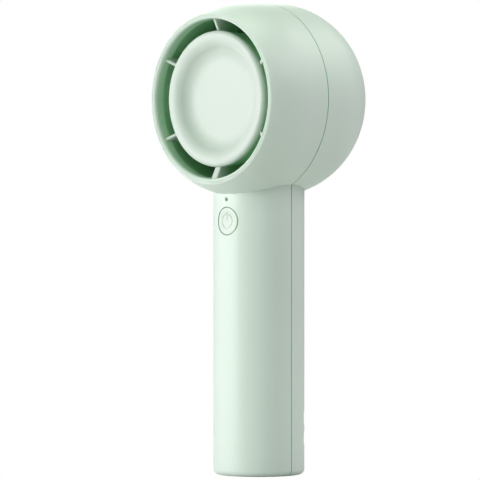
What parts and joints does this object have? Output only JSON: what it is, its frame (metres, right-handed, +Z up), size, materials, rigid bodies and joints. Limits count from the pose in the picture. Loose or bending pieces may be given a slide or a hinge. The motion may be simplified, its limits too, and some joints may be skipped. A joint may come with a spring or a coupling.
{
  "type": "handheld fan",
  "caption": "Handheld electric fan: a round ducted head with a ring-shaped outlet round a dished centre disc, on a straight round handle with a push button.",
  "frame": {"origin": "centre of the flat base of the handle", "axes": "+Z up the handle to the head; the air leaves the head towards -Y and enters from +Y; +X completes the set"},
  "size_m": [0.0678, 0.0603, 0.1654],
  "materials": {
    "mint_shell": "soft matte paint on moulded ABS",
    "mint_light": "fine satin moulded ABS",
    "duct_green": "moulded ABS",
    "screw_steel": "zinc plated",
    "mount_aluminium": "machined",
    "polished_steel": "ground",
    "spring_steel": "oiled",
    "spacer_brass": "turned",
    "bell_steel": "drawn and plated",
    "magnet_dark": "coated",
    "core_steel": "stamped laminations",
    "winding_copper": "enamelled wire",
    "board_green": "solder mask",
    "chip_black": "moulded",
    "ferrite_grey": "sintered",
    "lead_yellow": "extruded",
    "lead_grey": "extruded",
    "lead_red": "extruded",
    "lead_black": "extruded",
    "connector_cream": "moulded nylon",
    "light_pipe_green": "tinted and polished",
    "led_resin": "cast resin",
    "cell_steel": "nickel plated",
    "electrode_foil": "wound electrode foil",
    "nickel": "rolled",
    "cell_wrap": "heat-shrunk film",
    "cell_paper": "pressed paper",
    "cradle_white": "moulded",
    "foam_grey": "closed-cell foam"
  },
  "bodies": {
    "housing": {"front_shell": "mint_shell", "rear_shell": "mint_shell", "rear_grille": "mint_shell", "outlet_trim": "mint_shell", "outlet_ring": "mint_light", "front_disc": "mint_light", "air_duct": "duct_green", "duct_screws": "screw_steel", "motor_mount": "mount_aluminium", "motor_screws": "screw_steel", "bearings": "polished_steel", "stator_core": "core_steel", "stator_windings": "winding_copper", "motor_board": "board_green", "motor_board_parts": "chip_black", "motor_leads": "lead_yellow", "motor_plug": "connector_cream", "motor_header": "connector_cream", "tact_switch": "chip_black", "light_pipe": "light_pipe_green", "status_led": "led_resin", "control_board": "board_green", "control_chips": "chip_black", "inductor": "ferrite_grey", "board_screws": "screw_steel", "battery_can": "cell_steel", "battery_roll": "electrode_foil", "battery_wrap": "cell_wrap", "battery_cap": "cell_steel", "battery_insulator": "cell_paper", "positive_tab": "nickel", "negative_tab": "nickel", "battery_cradle": "cradle_white", "battery_pad": "foam_grey", "battery_lead_red": "lead_red", "battery_lead_black": "lead_black", "usb_shell": "polished_steel", "usb_tongue": "chip_black", "usb_board": "board_green", "usb_board_parts": "chip_black", "usb_leads": "lead_grey", "lanyard_pin": "screw_steel"},
    "rotor": {"impeller": "duct_green", "rotor_bell": "bell_steel", "rotor_magnets": "magnet_dark", "shaft": "polished_steel", "rotor_spacer": "spacer_brass", "retaining_clip": "spring_steel"},
    "button": {"power_button": "mint_light"},
    "plunger": {"switch_plunger": "connector_cream"}
  },
  "joints": [
    {"name": "rotor_spin", "type": "hinge", "parent": "housing", "child": "rotor", "pos_m": [0, 0, 0.1315], "axis": [0, -1, 0], "continuous": true},
    {"name": "button_press", "type": "slide", "parent": "housing", "child": "button", "axis": [0, 1, 0], "range_m": [0, 0.00025], "stiffness_N_per_m": 4000, "springref_m": -0.0001},
    {"name": "plunger_press", "type": "slide", "parent": "housing", "child": "plunger", "axis": [0, 1, 0], "range_m": [0, 0.00025]}
  ],
  "couplings": [
    {"joint": "plunger_press", "follows": "button_press", "ratio": 1}
  ]
}
